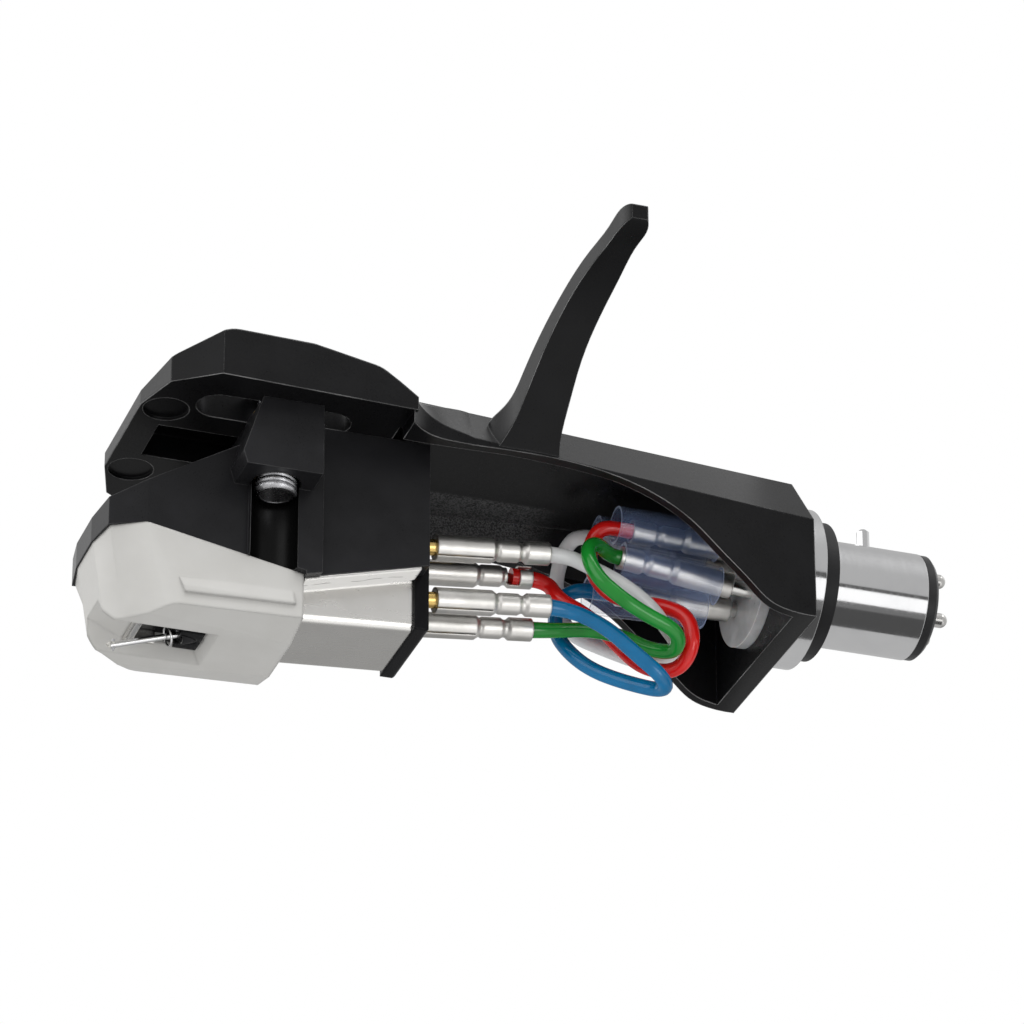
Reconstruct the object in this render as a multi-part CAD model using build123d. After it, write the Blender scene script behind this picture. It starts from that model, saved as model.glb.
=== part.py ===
from build123d import *
import math
import os

# Headshell with a moving-magnet phono cartridge. Millimetres.
# Origin on the plug axis at the rear face of the rubber washer.
# +X runs back along the plug, +Z is up, the finger lift points to -Y.

os.makedirs("parts", exist_ok=True)

# plug
BARREL_R = 4.0
BARREL_END_X = 7.56
BARREL_BORE_R = 3.2
FLANGE_R = 6.0
FLANGE_X0 = -3.3
FLANGE_X1 = -1.3
WASHER_R = 5.2
CAP_R = 3.95
CAP_END_X = 8.5
CONTACT_PITCH = 1.62
CONTACT_TIP_R = 0.55
CONTACT_TIP_X = 9.9
CONTACT_SHANK_R = 0.45
TERMINAL_R = 0.6
TERMINAL_LENGTH = 4.5
LOCATING_X = 4.1
LOCATING_R = 0.47
LOCATING_SHANK_R = 0.25
LOCATING_TOP = 5.85
DISC_R = 4.95
DISC_X0 = -5.7

# headshell casting
UNDERSIDE_Z = 3.94
BLOCK_TOP = 7.75
BODY_HALF = 8.42
BODY_TOP = 6.3
RIM_HALF = 11.0
WALL = 0.8
ROOF = 1.3
CEILING_Z = 5.0
REAR_FACE_X = -3.3
REAR_INNER_X = -4.9
SLOT_Y = 6.35
SLOT_X0 = -49.45
SLOT_X1 = -38.1
SLOT_W = 3.3
GROOVE_W = 5.4
GROOVE_Z = 6.0
WINDOW_HALF = 2.35
MARK_R = 1.65

# cartridge
SCREW_X = -43.5
SCREW_R = 1.4
SCREW_END_Z = -2.5
HEAD_R = 2.3
HEAD_H = 1.4
INSERT_R = 1.75
INSERT_SINK = 0.75
LUG_HALF = 8.83
LUG_Z = -1.59
PEDESTAL_HALF = 6.2
PEDESTAL_X0 = -45.25
CORE_HALF = 5.7
CORE_X1 = -31.8
PLATE_HALF = 4.06
NOSE_HALF = 5.6
PLATE_X0 = -32.4
PLATE_X1 = -31.25
PIN_Y = 2.0
PIN_Z_UP = -2.39
PIN_Z_LOW = -6.66
PIN_R = 0.6
PIN_LENGTH = 3.97
PIN_TILT = 6.0
CASE_HALF = 3.75
CASE_NECK_HALF = 3.35
CASE_T = 0.3
CASE_X0 = -42.6
FLANGE_T = 0.25
COIL_GAP = 0.05
SPOOL_R = (CASE_NECK_HALF - CASE_T - 3 * COIL_GAP) / 2
COIL_Y = SPOOL_R + COIL_GAP

# stylus
PIVOT = (-48.1, 0.0, -11.15)
RAKE = math.radians(18.3)
PIPE_R = 0.7
PIPE_BORE = 0.55
CANTILEVER_R = 0.22
MAGNET_R = 0.3
HOLDER_REAR_X = -41.1
HOLDER_ROUND = 1.4
KEEL = 0.7
MOUTH_HALF = 2.7
RIB_H = 0.2
CAVITY_X0 = -52.2
CAVITY_HALF = 1.9

# leads and their clips
LEAD_R = 0.675
CLIP_R = 0.95
SLEEVE_R = 1.45
SLEEVE_BORE = 1.25
CLIP_GAP = 1.0
SLEEVE_START = 2.6


def block(x0, x1, y0, y1, z0, z1):
    return Pos((x0 + x1) / 2, (y0 + y1) / 2, (z0 + z1) / 2) * Box(x1 - x0, y1 - y0, z1 - z0)


def rod_x(x0, x1, r, y=0.0, z=0.0):
    return Pos((x0 + x1) / 2, y, z) * Rot(0, 90, 0) * Cylinder(r, x1 - x0)


def rod_z(x, y, z0, z1, r):
    return Pos(x, y, (z0 + z1) / 2) * Cylinder(r, z1 - z0)


def prism(points, along, length):
    face = make_face(Polyline(*points, close=True))
    return extrude(face, amount=length, dir=along)


def prism_y(points, half):
    return prism([(x, -half, z) for x, z in points], (0, 1, 0), 2 * half)


def prism_z(points, z0, z1):
    return prism([(x, y, z0) for x, y in points], (0, 0, 1), z1 - z0)


def mirrored(points):
    return list(points) + [(x, -y) for x, y in reversed(points)]


def slot_z(x0, x1, y, w, z0, z1):
    r = w / 2
    slab = block(x0 + r, x1 - r, y - r, y + r, z0, z1)
    return slab + rod_z(x0 + r, y, z0, z1, r) + rod_z(x1 - r, y, z0, z1, r)


def revolve_x(profile, x, y, z, turn=0):
    face = make_face(Polyline(*[(a, 0, b) for a, b in profile], close=True))
    return Pos(x, y, z) * Rot(0, 0, turn) * revolve(face, Axis.X, 360)


def along_rake(s, lift=0.0, y=0.0):
    x = PIVOT[0] + s * math.cos(RAKE) - lift * math.sin(RAKE)
    z = PIVOT[2] + s * math.sin(RAKE) + lift * math.cos(RAKE)
    return (x, y, z)


def rod_rake(s0, s1, r, lift=0.0, y=0.0):
    middle = along_rake((s0 + s1) / 2, lift, y)
    return Pos(*middle) * Rot(0, 90 - math.degrees(RAKE), 0) * Cylinder(r, s1 - s0)


def save(shape, name):
    shape.label = name
    export_step(shape, "parts/" + name + ".step")


# headshell: front block, rear trough, finger lift, one casting
front_plan = mirrored([(-34.2, -10.36), (-48.84, -11.05), (-52.03, -8.72), (-53.2, -4.9)])
front_side = [
    (-54.0, UNDERSIDE_Z),
    (-54.0, 4.5),
    (-53.2, 5.05),
    (-51.8, 6.1),
    (-48.2, BLOCK_TOP),
    (-42.1, BLOCK_TOP),
    (-37.0, 6.9),
    (-35.6, 6.0),
    (-34.2, 5.0),
    (-34.2, UNDERSIDE_Z),
]
front_prism = prism_y(front_side, 13.0)
crown = front_prism.edges().filter_by(Axis.Y).filter_by(lambda e: e.center().Z > 5.5)
front_block = prism_z(front_plan, UNDERSIDE_Z, 9.0) & fillet(crown, 2.5)


def body_section(x, side, shoulder, top_half, top, low=-9.0):
    half = [(side, low), (side, shoulder), (top_half, top)]
    pts = [(x, -y, z) for y, z in half] + [(x, y, z) for y, z in reversed(half)]
    return make_face(Polyline(*pts, close=True))


def body_at(x, inset=0.0, roof=0.0):
    k = (x + 34.0) / (34.0 + REAR_FACE_X)
    shoulder = 3.95 + k * (1.35 - 3.95) - 0.4 * inset
    top_half = 7.55 + k * (4.4 - 7.55) - 0.6 * inset
    return body_section(x, BODY_HALF - inset, shoulder, top_half, BODY_TOP - roof, -9.0 - inset)


rear_body = loft([body_at(-34.0), body_at(REAR_FACE_X)], ruled=True)
flare_stations = [
    (-34.5, 10.36, 4.85, 10.25, 5.0),
    (-33.9, 9.72, 4.75, 9.3, 5.25),
    (-33.0, 9.08, 4.45, 8.35, 5.65),
    (-31.4, 8.6, 4.0, 7.6, 6.1),
    (-29.4, BODY_HALF, 3.56, 7.08, BODY_TOP),
]
flare = loft([body_section(*station) for station in flare_stations])
saddle = block(-36.4, -33.9, -7.5, 7.5, UNDERSIDE_Z + 0.1, BODY_TOP)
trough = loft([body_at(-34.7, WALL, ROOF), body_at(REAR_INNER_X, WALL, ROOF)], ruled=True)

rim = [
    (-36.0, 3.05),
    (-23.35, 2.95),
    (-19.84, 2.57),
    (-16.78, 1.78),
    (-12.74, -0.39),
    (-10.24, -2.74),
    (-8.43, -4.45),
    (-6.8, -5.95),
    (-5.0, -6.5),
    (REAR_FACE_X + 0.5, -6.55),
]
rim_curve = Spline(*[(x, -RIM_HALF, z) for x, z in rim])
rim_close = Polyline(
    (rim[-1][0], -RIM_HALF, rim[-1][1]),
    (rim[-1][0], -RIM_HALF, -12.0),
    (rim[0][0], -RIM_HALF, -12.0),
    (rim[0][0], -RIM_HALF, rim[0][1]),
)
below_rim = extrude(make_face([rim_curve, rim_close]), amount=2 * RIM_HALF, dir=(0, 1, 0))

lift_stations = [
    (7.3, -28.0, -22.7, 1.9, 5.2),
    (8.5, -27.45, -22.95, 3.3, 6.1),
    (9.4, -26.95, -23.12, 4.25, 6.75),
    (11.0, -26.55, -23.15, 5.7, 8.1),
    (13.5, -26.05, -23.05, 8.1, 10.1),
    (16.5, -25.45, -22.65, 10.35, 11.9),
    (20.0, -24.75, -22.28, 11.95, 13.3),
    (23.0, -24.15, -22.12, 12.75, 14.1),
    (25.2, -23.73, -22.1, 13.12, 14.5),
    (25.6, -23.45, -22.3, 13.3, 14.42),
]
lift_faces = []
for out, xf, xr, low, high in lift_stations:
    ring = [(xf, -out, low), (xr, -out, low), (xr, -out, high), (xf, -out, high)]
    lift_faces.append(make_face(Polyline(*ring, close=True)))
finger_lift = loft(lift_faces)

headshell = front_block + rear_body + flare + saddle + finger_lift
headshell = headshell - below_rim - trough
for side in (-1, 1):
    headshell = headshell - slot_z(SLOT_X0, SLOT_X1, side * SLOT_Y, SLOT_W, 3.0, 9.0)
    headshell = headshell - slot_z(SLOT_X0 - 1.05, SLOT_X1 + 1.05, side * SLOT_Y, GROOVE_W, GROOVE_Z, 9.0)
    headshell = headshell - rod_z(-51.28, side * 4.73, 3.0, UNDERSIDE_Z + 0.25, MARK_R)
headshell = headshell - block(-51.15, -36.0, -WINDOW_HALF, WINDOW_HALF, 3.0, 5.9)
headshell = headshell - rod_x(REAR_INNER_X - 1.0, REAR_FACE_X + 1.0, BARREL_R)
save(headshell, "headshell_body")

# bayonet plug
barrel = rod_x(REAR_INNER_X, BARREL_END_X, BARREL_R) + rod_x(FLANGE_X0, FLANGE_X1, FLANGE_R)
barrel = barrel - rod_x(REAR_INNER_X - 1.0, BARREL_END_X + 1.0, BARREL_BORE_R)
barrel = barrel - rod_z(LOCATING_X, 0, 0.0, BARREL_R + 1.0, LOCATING_SHANK_R)
save(barrel, "plug_barrel")

washer = rod_x(FLANGE_X1, 0.0, WASHER_R) - rod_x(FLANGE_X1 - 1.0, 1.0, BARREL_R)
save(washer, "rubber_washer")

locating = rod_z(LOCATING_X, 0, BARREL_R, LOCATING_TOP - 0.2, LOCATING_R)
locating = locating + rod_z(LOCATING_X, 0, BARREL_BORE_R + 0.1, BARREL_R, LOCATING_SHANK_R)
dome = Pos(LOCATING_X, 0, LOCATING_TOP - 0.1) * Cone(LOCATING_R, LOCATING_R - 0.2, 0.2)
save(locating + dome, "locating_pin")

# plug ends: pin, lead, place, tilt of the bent terminal, gap to the clip, reach of the sleeve
shell_ends = [
    ("left_top", "red", -CONTACT_PITCH, CONTACT_PITCH, 1.0, 0.6, 10.5),
    ("left_low", "green", -CONTACT_PITCH, -CONTACT_PITCH, 6.0, 1.6, 10.2),
    ("right_top", "white", CONTACT_PITCH, CONTACT_PITCH, 5.0, 0.6, 11.0),
    ("right_low", "blue", CONTACT_PITCH, -CONTACT_PITCH, -1.5, 0.6, 11.6),
]

cap = rod_x(REAR_INNER_X, BARREL_END_X, BARREL_BORE_R) + rod_x(BARREL_END_X, CAP_END_X - 0.3, CAP_R)
cap = cap + Pos(CAP_END_X - 0.15, 0, 0) * Rot(0, 90, 0) * Cone(CAP_R, CAP_R - 0.3, 0.3)
disc = rod_x(DISC_X0, REAR_INNER_X, DISC_R)
for name, colour, y, z, tilt, gap, reach in shell_ends:
    cap = cap - rod_x(REAR_INNER_X - 1.0, CAP_END_X + 1.0, CONTACT_SHANK_R, y, z)
    stub = Pos(DISC_X0, y, z) * Rot(0, tilt, 0) * rod_x(-TERMINAL_LENGTH, 0.1, TERMINAL_R)
    disc = disc - rod_x(DISC_X0 - 1.0, REAR_INNER_X + 1.0, CONTACT_SHANK_R, y, z) - stub
    pin = rod_x(DISC_X0, CAP_END_X, CONTACT_SHANK_R, y, z) + stub
    pin = pin + rod_x(CAP_END_X, CONTACT_TIP_X - CONTACT_TIP_R, CONTACT_TIP_R, y, z)
    pin = pin + Pos(CONTACT_TIP_X - CONTACT_TIP_R, y, z) * Sphere(CONTACT_TIP_R)
    save(pin, "contact_pin_" + name)
save(cap, "plug_insulator")
save(disc, "insulator_disc")

# cartridge body
def under(x):
    return -8.2 + 0.26 * (x + 40.9)


nose_plan = mirrored([(-45.0, -NOSE_HALF), (-52.6, -NOSE_HALF), (-55.25, -5.0), (-55.72, -2.05)])
nose_side = [(-56.0, -4.35), (-45.0, 2.13), (-45.0, -7.232), (-52.63, -5.73), (-56.0, -6.2)]
nose = prism_z(nose_plan, -9.0, 4.0) & prism_y(nose_side, 7.0)
pedestal_side = [
    (PEDESTAL_X0, UNDERSIDE_Z),
    (-39.9, UNDERSIDE_Z),
    (-39.9, under(-39.9)),
    (HOLDER_REAR_X, under(HOLDER_REAR_X)),
    (HOLDER_REAR_X, -8.0),
    (PEDESTAL_X0, -7.183),
]
pedestal = prism_y(pedestal_side, PEDESTAL_HALF)
core_side = [
    (-45.0, UNDERSIDE_Z),
    (CORE_X1, UNDERSIDE_Z),
    (CORE_X1, under(CORE_X1)),
    (-39.9, under(-39.9)),
    (-45.0, -7.1),
]
core = prism_y(core_side, CORE_HALF)
lug_side = [
    (-45.22, UNDERSIDE_Z),
    (-40.75, UNDERSIDE_Z),
    (-40.75, LUG_Z),
    (-46.31, LUG_Z),
    (-46.62, -0.62),
]
lugs = prism_y(lug_side, LUG_HALF)
body = nose + pedestal + core + lugs
body = body - block(-42.9, PLATE_X0 + 1.0, -CASE_NECK_HALF, CASE_NECK_HALF, -9.0, 0.3)
case_clear = [(-45.0, -8.25), (PLATE_X0 + 1.0, -4.8), (PLATE_X0 + 1.0, -12.0), (-45.0, -12.0)]
body = body - prism_y(case_clear, CASE_HALF)
body = body - block(PLATE_X0, CORE_X1 + 1.0, -PLATE_HALF, PLATE_HALF, -12.0, UNDERSIDE_Z + 1.0)
for side in (-1, 1):
    body = body - rod_z(SCREW_X, side * SLOT_Y, -9.0, LUG_Z, 1.7)
    body = body - rod_z(SCREW_X, side * SLOT_Y, -9.0, 5.0, INSERT_R)
save(body, "cartridge_body")

for name, side in (("left", -1), ("right", 1)):
    sleeve = rod_z(SCREW_X, side * SLOT_Y, LUG_Z + INSERT_SINK, UNDERSIDE_Z, INSERT_R)
    save(sleeve - rod_z(SCREW_X, side * SLOT_Y, -5.0, 5.0, SCREW_R), "threaded_insert_" + name)
    screw = rod_z(SCREW_X, side * SLOT_Y, SCREW_END_Z + 0.2, GROOVE_Z, SCREW_R)
    screw = screw + Pos(SCREW_X, side * SLOT_Y, SCREW_END_Z + 0.1) * Cone(SCREW_R - 0.2, SCREW_R, 0.2)
    screw = screw + rod_z(SCREW_X, side * SLOT_Y, GROOVE_Z, GROOVE_Z + HEAD_H, HEAD_R)
    kerf = block(SCREW_X - 3, SCREW_X + 3, -0.3, 0.3, GROOVE_Z + HEAD_H - 0.6, 9.0)
    save(screw - Pos(0, side * SLOT_Y, 0) * kerf, "mounting_screw_" + name)

# rear plate and terminal pins
plate = block(PLATE_X0, PLATE_X1, -PLATE_HALF, PLATE_HALF, -10.15, UNDERSIDE_Z)
plate = fillet(plate.edges().filter_by(lambda e: e.center().X > PLATE_X1 - 0.01), 0.3)
pins = [
    ("white", -PIN_Y, PIN_Z_UP),
    ("blue", -PIN_Y, PIN_Z_LOW),
    ("red", PIN_Y, PIN_Z_UP),
    ("green", PIN_Y, PIN_Z_LOW),
]
for name, y, z in pins:
    seat = Pos(PLATE_X1, y, z) * Rot(0, -PIN_TILT, 0)
    pin = rod_x(-2.55, PIN_LENGTH - 0.3, PIN_R)
    plate = plate - seat * pin
    pin = pin + Pos(PIN_LENGTH - 0.15, 0, 0) * Rot(0, 90, 0) * Cone(PIN_R, PIN_R - 0.3, 0.3)
    save(seat * pin, "terminal_pin_" + name)
save(plate, "rear_plate")

# shield case: folded sheet, open at the rear
case_low = [(CASE_X0, -7.7), (CASE_X0, -10.8), (PLATE_X0, -10.1), (PLATE_X0, -5.11)]
case_outer = prism_y(case_low, CASE_HALF)
long_edges = case_outer.edges().filter_by(lambda e: e.length > 9 and e.center().Z < -10)
case_outer = fillet(long_edges, 0.6)
brim = [(HOLDER_REAR_X + 0.1, 0.0), (PLATE_X0, 0.0), (PLATE_X0, -FLANGE_T), (HOLDER_REAR_X + 0.1, -FLANGE_T)]
brim = prism_y([(x, under(x) + drop) for x, drop in brim], CORE_HALF - 0.05)
case_outer = case_outer + brim
case_outer = case_outer + block(CASE_X0, PLATE_X0, -CASE_NECK_HALF, CASE_NECK_HALF, -9.0, 0.0)
low_in = [(CASE_X0 + CASE_T, -8.0), (CASE_X0 + CASE_T, -10.48), (PLATE_X0 + 1, -9.73), (PLATE_X0 + 1, -5.8)]
case = case_outer - prism_y(low_in, CASE_HALF - CASE_T)
neck_in = CASE_NECK_HALF - CASE_T
case = case - block(CASE_X0 + CASE_T, PLATE_X0 + 1, -neck_in, neck_in, -9.0, -CASE_T)
case = case - block(CASE_X0 - 1, CASE_X0 + 1, -1.45, 1.45, -10.3, -8.2)
save(case, "shield_case")

# coils on pole pieces inside the case
for name, side in (("left", -1), ("right", 1)):
    y = side * COIL_Y
    strip = [along_rake(1.7, -0.4), along_rake(6.9, -0.4), along_rake(6.9, 0.4), along_rake(1.7, 0.4)]
    strip = [(x, 0.85 if side > 0 else -1.35, z) for x, dummy, z in strip]
    pole = prism(strip, (0, 1, 0), 0.5)
    pole = pole + block(-41.9, -41.0, min(side * 0.85, side * 1.35), max(side * 0.85, side * 1.35), -9.2, -4.7)
    pole = pole + rod_x(-41.5, -35.0, 0.5, y, -5.2)
    save(pole, "pole_piece_" + name)
    spool = rod_x(-40.6, -35.2, 0.65, y, -5.2)
    spool = spool + rod_x(-40.6, -40.3, SPOOL_R, y, -5.2) + rod_x(-35.5, -35.2, SPOOL_R, y, -5.2)
    save(spool - rod_x(-41.0, -35.0, 0.5, y, -5.2), "bobbin_" + name)
    wound = rod_x(-40.3, -35.5, SPOOL_R - 0.1, y, -5.2) - rod_x(-41.0, -35.0, 0.65, y, -5.2)
    save(wound, "coil_" + name)

# stylus holder
upper = mirrored([(HOLDER_REAR_X, -NOSE_HALF), (-52.6, -NOSE_HALF), (-55.25, -5.0), (-55.72, -2.05)])
lower = mirrored([(HOLDER_REAR_X, -NOSE_HALF), (-50.4, -NOSE_HALF), (-53.4, -2.9), (-54.6, -2.05)])
holder_loft = loft(
    [
        make_face(Polyline(*[(x, y, -5.4) for x, y in upper], close=True)),
        make_face(Polyline(*[(x, y, -12.2) for x, y in lower], close=True)),
    ],
    ruled=True,
)
turned = holder_loft.edges().filter_by(lambda e: e.center().X > -52.5 and e.center().X < -45 and e.length > 6)
turned = turned.filter_by(lambda e: abs(e.center().Z + 8.8) < 0.5)
holder_loft = fillet(turned, HOLDER_ROUND)
holder_side = [
    (-56.0, -6.2),
    (-52.63, -5.73),
    (HOLDER_REAR_X, -8.0),
    (HOLDER_REAR_X, -11.5 - KEEL),
    (-50.4, -11.82 - KEEL),
    (-56.0, -12.0 - KEEL),
]
holder = holder_loft & prism_y(holder_side, 7.0)
for side in (-1, 1):
    slope = [
        (-40.0, side * 7.0, -11.46 + 1.4 * KEEL / (NOSE_HALF - MOUTH_HALF)),
        (-40.0, side * MOUTH_HALF, -11.46 - KEEL),
        (-40.0, side * MOUTH_HALF, -14.0),
        (-40.0, side * 7.0, -14.0),
    ]
    holder = holder - prism(slope, (-0.99941, 0, -0.0344), 17.0)
    rib = [(-50.2, -9.72), (-49.75, -10.85), (-41.7, -10.55), (-41.9, -9.3)]
    rib_face = make_face(Polyline(*[(x, side * (NOSE_HALF - 0.3), z) for x, z in rib], close=True))
    rib_solid = extrude(rib_face, amount=0.8, dir=(0, side, 0))
    ramp = [(side * 5.0, -11.2), (side * (NOSE_HALF + RIB_H), -11.2), (side * (NOSE_HALF + RIB_H), -10.4)]
    ramp = ramp + [(side * (NOSE_HALF - 0.02), -9.35), (side * 5.0, -9.35)]
    ramp_solid = prism([(-52.0, y, z) for y, z in ramp], (1, 0, 0), 12.0)
    holder = holder + (rib_solid & ramp_solid)


def mouth_section(x, low_half, high_half, high):
    pts = [(x, -low_half, -13.2), (x, -high_half, high), (x, high_half, high), (x, low_half, -13.2)]
    return make_face(Polyline(*pts, close=True))


mouth_low = mirrored([(-52.3, -MOUTH_HALF), (-46.1, -MOUTH_HALF)])
mouth_high = mirrored([(-52.3, -2.0), (-47.0, -2.0)])
mouth = loft(
    [
        make_face(Polyline(*[(x, y, -12.6) for x, y in mouth_low], close=True)),
        make_face(Polyline(*[(x, y, -11.25) for x, y in mouth_high], close=True)),
    ],
    ruled=True,
)
scoop = loft([mouth_section(-57.0, 3.05, 1.0, -9.6), mouth_section(-52.2, 3.05, 1.95, -11.25)], ruled=True)
holder = holder - mouth - scoop
holder = holder - block(CAVITY_X0, -47.0, -CAVITY_HALF, CAVITY_HALF, -12.0, -9.3)
holder = holder - rod_rake(-2.0, 8.0, PIPE_R)
holder = holder - block(-46.7, HOLDER_REAR_X + 1, -1.5, 1.5, -11.1, -8.4)
room = CASE_HALF + 0.06
holder = holder - block(CASE_X0 - 0.3, HOLDER_REAR_X + 1, -room, room, -10.95, -7.2)
save(holder, "stylus_holder")

carrier = block(-49.4, -47.0, -1.3, 1.3, -11.7, -10.05) - rod_rake(-3.0, 8.0, PIPE_R)
carrier = carrier - block(-50.0, -48.7, -1.4, 1.4, -12.0, -11.35)
carrier = carrier + block(CAVITY_X0 + 0.2, -47.0, -CAVITY_HALF, CAVITY_HALF, -10.4, -9.3)
carrier = carrier - rod_rake(-3.0, 8.0, PIPE_R)
save(carrier, "suspension_block")
guard = block(CAVITY_X0, CAVITY_X0 + 0.2, -CAVITY_HALF, CAVITY_HALF, -11.4, -9.3)
guard = guard + block(CAVITY_X0, -49.9, CAVITY_HALF - 0.25, CAVITY_HALF, -11.4, -10.4)
save(guard, "guard_plate")

pipe = rod_rake(-0.45, 6.3, PIPE_R) - rod_rake(-1.0, 7.0, PIPE_BORE)
save(pipe, "joint_pipe")
damper = rod_rake(-0.35, 0.45, PIPE_BORE) - rod_rake(-1.0, 1.0, CANTILEVER_R + 0.05)
save(damper, "damper_ring")
save(rod_rake(0.9, 3.4, MAGNET_R), "magnet")
tip_x = along_rake(-5.5)[0]
tip_z = along_rake(-5.5)[2]
shank = rod_z(tip_x, 0, tip_z - 0.3, tip_z + 0.42, 0.13)
point = Pos(tip_x, 0, tip_z - 0.4) * Cone(0.02, 0.13, 0.2)
save(shank + point, "stylus_tip")
save(rod_rake(-5.75, 0.9, CANTILEVER_R) - shank, "cantilever")

# crimp clips: round barrel, neck, wire crimp
clip_profile = [
    (0.0, CLIP_R),
    (4.3, CLIP_R),
    (4.7, 0.7),
    (4.9, 0.8),
    (6.3, 0.8),
    (6.55, 0.66),
    (6.75, 0.66),
    (7.0, 0.86),
    (8.7, 0.86),
    (8.7, LEAD_R),
    (7.1, LEAD_R),
    (6.8, 0.45),
    (4.7, 0.45),
    (4.2, PIN_R),
    (0.0, PIN_R),
]


def clip(place, seam, slit=0.12, wings=False):
    shape = revolve_x(clip_profile, 0, 0, 0)
    shape = shape - block(-1.0, 4.25, -slit / 2, slit / 2, 0.0, 2.0)
    if wings:
        shape = shape - block(6.76, 7.7, -2.0, 2.0, -0.2, 2.0) - block(7.0, 9.0, -0.25, 0.25, 0.0, 2.0)
    return place * Rot(seam, 0, 0) * shape


for name, y, z in pins:
    wings = name == "red"
    seam, slit = (60, 0.3) if wings else (150, 0.12)
    seat = Pos(PLATE_X1, y, z) * Rot(0, -PIN_TILT, 0)
    save(clip(seat * Pos(CLIP_GAP, 0, 0), seam, slit, wings), "clip_" + name)
for spot, name, y, z, tilt, gap, reach in shell_ends:
    seat = Pos(DISC_X0, y, z) * Rot(0, tilt, 0)
    save(clip(seat * Pos(-gap, 0, 0) * Rot(0, 0, 180), 40), "shell_clip_" + name)
    sz = math.copysign(SLEEVE_BORE - CLIP_R, z)
    tube = rod_x(-reach, -SLEEVE_START, SLEEVE_R, 0.0, sz)
    save(seat * (tube - rod_x(-reach - 1, 0.0, SLEEVE_BORE, 0.0, sz)), "sleeve_" + name)

# leads: straight runs joined by arcs, from crimp to crimp
lead_routes = {
    "white": [
        (-23.09, -2.0, -1.53), (-20.31, -2.0, -1.24), (-18.69, -2.37, -2.04), (-16.45, -3.18, -3.43),
        (-14.15, -3.03, -4.82), (-12.26, -1.7, -5.94), (-10.34, 0.37, -6.32), (-12.11, 2.74, -6.72),
        (-15.22, 4.01, -5.22), (-17.43, 4.85, -4.04), (-18.27, 5.15, -2.21), (-18.67, 4.82, 0.52),
        (-18.1, 3.3, 3.0), (-17.26, 1.62, 2.631), (-13.47, 1.62, 2.3),
    ],
    "red": [
        (-23.09, 2.0, -1.53), (-20.4, 2.0, -1.25), (-19.7, 1.25, -3.2), (-17.55, 0.85, -4.33),
        (-15.0, 1.95, -5.7), (-13.4, 0.75, -8.1), (-11.2, -0.6, -8.7), (-10.6, -2.6, -7.4),
        (-10.9, -2.5, -4.9), (-12.7, -1.3, -3.75), (-14.6, -0.9, -3.7), (-16.6, -0.75, -3.2),
        (-17.6, -0.35, -1.5), (-17.9, -0.45, 0.55), (-17.35, -1.62, 1.823), (-13.5, -1.62, 1.756),
    ],
    "blue": [
        (-23.09, -2.0, -5.8), (-20.31, -2.0, -5.51), (-17.4, -2.75, -7.0), (-15.31, -3.03, -8.94),
        (-13.02, -2.85, -10.49), (-12.31, -1.13, -10.68), (-14.74, 0.72, -9.44), (-16.9, 1.95, -8.2),
        (-18.45, 2.65, -6.65), (-19.3, 3.3, -4.8), (-19.1, 3.15, -2.4), (-18.2, 1.62, -1.947),
        (-13.5, 1.62, -1.824),
    ],
    "green": [
        (-23.09, 2.0, -5.8), (-20.2, 2.0, -5.496), (-17.6, 0.3, -5.75), (-15.2, -0.35, -6.3),
        (-13.4, -0.9, -7.35), (-11.9, -2.45, -8.05), (-12.3, -4.1, -7.2), (-14.95, -4.55, -6.5),
        (-17.01, -4.86, -5.62), (-18.91, -4.69, -4.03), (-19.45, -4.15, -1.8), (-18.25, -3.05, -0.35),
        (-16.7, -1.62, -0.464), (-14.45, -1.62, -0.7),
    ],
}


def lead(points):
    radii = []
    for a, b, c in zip(points, points[1:], points[2:]):
        u = Vector(*b) - Vector(*a)
        v = Vector(*c) - Vector(*b)
        turn = math.radians(u.get_angle(v))
        radii.append(round(0.45 * min(u.length, v.length) / math.tan(turn / 2), 3))
    path = FilletPolyline(*points, radius=radii)
    start = Plane(origin=points[0], z_dir=Vector(*points[1]) - Vector(*points[0]))
    return sweep(start * Circle(LEAD_R), path=path), radii


for name, points in lead_routes.items():
    tube, radii = lead(points)
    print(name, "lead radii", radii)
    save(tube, "lead_" + name)
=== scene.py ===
import math

import bmesh
import bpy
from mathutils import Matrix, Vector


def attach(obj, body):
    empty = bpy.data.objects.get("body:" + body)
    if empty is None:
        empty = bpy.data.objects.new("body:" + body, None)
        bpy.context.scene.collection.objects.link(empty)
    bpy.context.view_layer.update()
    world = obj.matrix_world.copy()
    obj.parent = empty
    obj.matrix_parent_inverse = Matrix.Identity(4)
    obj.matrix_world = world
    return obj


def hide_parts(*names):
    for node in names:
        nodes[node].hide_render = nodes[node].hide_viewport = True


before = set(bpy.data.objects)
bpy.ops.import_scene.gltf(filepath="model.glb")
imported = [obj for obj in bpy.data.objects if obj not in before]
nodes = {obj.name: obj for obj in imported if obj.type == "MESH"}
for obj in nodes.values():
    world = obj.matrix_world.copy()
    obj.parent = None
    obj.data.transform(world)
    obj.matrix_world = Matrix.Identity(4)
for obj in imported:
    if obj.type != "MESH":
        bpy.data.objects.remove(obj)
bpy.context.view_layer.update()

scene = bpy.context.scene
MM = 0.001

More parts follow.
